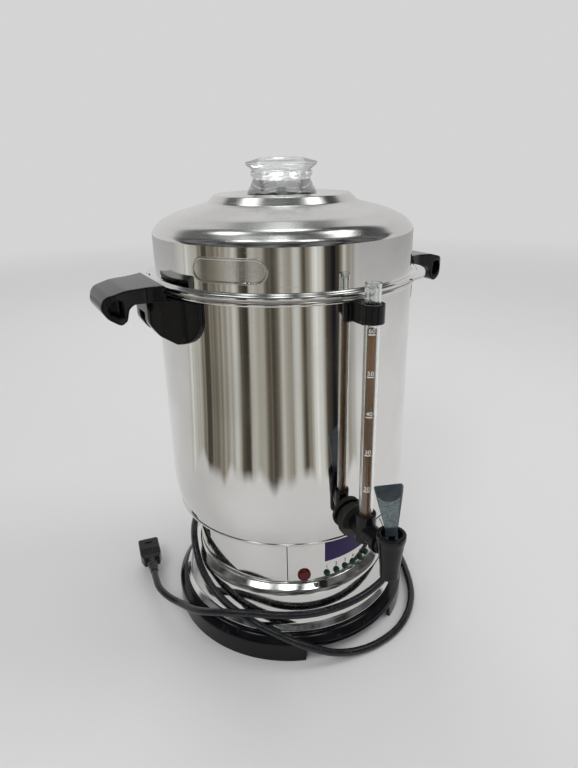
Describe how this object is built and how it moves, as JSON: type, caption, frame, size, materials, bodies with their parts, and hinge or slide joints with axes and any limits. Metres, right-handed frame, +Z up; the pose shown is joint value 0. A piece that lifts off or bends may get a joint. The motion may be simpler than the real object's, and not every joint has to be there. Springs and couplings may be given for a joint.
{
  "type": "coffee_urn",
  "caption": "Polished percolating coffee urn with a tall lid, glass knob, twin black handles, a sight gauge, a lever tap and a black base with its mains cord wound round it.",
  "frame": {"origin": "on the floor, on the axis of the tank", "axes": "+Z up along the tank's axis; the tap points towards -Y; the handles stand on +X and -X"},
  "size_m": [0.3488, 0.3659, 0.4532],
  "materials": {
    "polished_steel": "mirror polished stainless steel",
    "plain_steel": "satin stainless steel",
    "plated_steel": "bright zinc plating",
    "aluminium": "spun aluminium, satin",
    "brass": "turned brass",
    "black_gloss": "moulded black, glossy",
    "black_satin": "moulded black, satin",
    "lever_grey": "moulded dark grey, speckled with wear",
    "clear": "clear",
    "coffee": "dark brown liquid",
    "rubber": "soft black rubber",
    "silicone": "pale silicone",
    "label_violet": "printed dark violet",
    "lens_red": "translucent dark red",
    "lens_green": "translucent dark green",
    "white_plastic": "moulded white",
    "board_green": "circuit board",
    "cord_black": "round black vinyl"
  },
  "bodies": {
    "urn": {"tank_shell": "polished_steel", "base_neck": "plain_steel", "base_flare": "polished_steel", "base_ring": "black_gloss", "bottom_cover": "plated_steel", "base_studs": "plated_steel", "base_nuts": "plated_steel", "heater_well": "plain_steel", "well_gaskets": "silicone", "well_nut": "brass", "main_heater": "plain_steel", "keep_warm_heater": "aluminium", "thermostat": "aluminium", "thermal_fuse": "white_plastic", "terminal_block": "white_plastic", "wiring": "silicone", "label_plate": "polished_steel", "label_band": "label_violet", "power_lamp_lens": "lens_red", "hour_lamp_lenses": "lens_green", "lamp_holder": "black_satin", "lamp_board": "board_green", "right_handle": "black_satin", "left_handle": "black_satin", "handle_screws": "plated_steel", "handle_nuts": "plated_steel", "tap_cup": "black_satin", "ring_web": "black_gloss", "tap_outer_washer": "rubber", "tap_collar": "black_satin", "tap_body": "black_satin", "tap_joint_ring": "black_satin", "tap_inner_washer": "silicone", "tap_shank_nut": "white_plastic", "tap_spout": "black_satin", "tap_spring": "plain_steel", "gauge_seal": "silicone", "gauge_glass": "clear", "gauge_shield": "clear", "coffee_column": "coffee", "gauge_bracket": "black_satin", "gauge_screw": "plated_steel", "cord_gland": "rubber", "cord": "cord_black", "plug_relief": "cord_black", "plug_body": "cord_black", "plug_blades": "brass"},
    "seal_ring": {"lid_seal": "silicone"},
    "lid": {"lid_shell": "polished_steel", "lid_skirt": "polished_steel", "lid_ears": "plain_steel", "lid_badge": "polished_steel"},
    "knob": {"lid_knob": "clear"},
    "brewer": {"pump_tube": "aluminium", "basket": "aluminium", "basket_cover": "aluminium"},
    "valve": {"tap_seat": "silicone"},
    "stem": {"tap_stem": "white_plastic", "lever_pin": "plated_steel"},
    "lever": {"tap_lever": "lever_grey"}
  },
  "joints": [
    {"name": "lid_lift", "type": "slide", "parent": "urn", "child": "seal_ring", "axis": [0, 0, 1], "range_m": [0, 0.4]},
    {"name": "lid_turn", "type": "hinge", "parent": "seal_ring", "child": "lid", "pos_m": [0, 0, 0.3521], "axis": [0, 0, 1], "range_deg": [0, 40]},
    {"name": "knob_turn", "type": "hinge", "parent": "lid", "child": "knob", "pos_m": [0, 0, 0.4214], "axis": [0, 0, 1], "range_deg": [0, 60]},
    {"name": "basket_lift", "type": "slide", "parent": "urn", "child": "brewer", "axis": [0, 0, 1], "range_m": [0, 0.24]},
    {"name": "stem_lift", "type": "slide", "parent": "urn", "child": "valve", "axis": [0, 0, 1], "range_m": [0, 0.0024], "deforming": ["tap_spring"]},
    {"name": "lever_swivel", "type": "hinge", "parent": "valve", "child": "stem", "pos_m": [0, -0.1753, 0.15], "axis": [0, 0, 1], "range_deg": [-60, 110]},
    {"name": "lever_tilt", "type": "hinge", "parent": "stem", "child": "lever", "pos_m": [0, -0.1753, 0.1625], "axis": [0.8829, -0.4695, 0], "range_deg": [0, 55], "stiffness_Nm_per_rad": 0.3}
  ],
  "couplings": [
    {"joint": "basket_lift", "follows": "lid_lift", "ratio": 0.6},
    {"joint": "stem_lift", "follows": "lever_tilt", "m_per_rad": 0.0025}
  ]
}
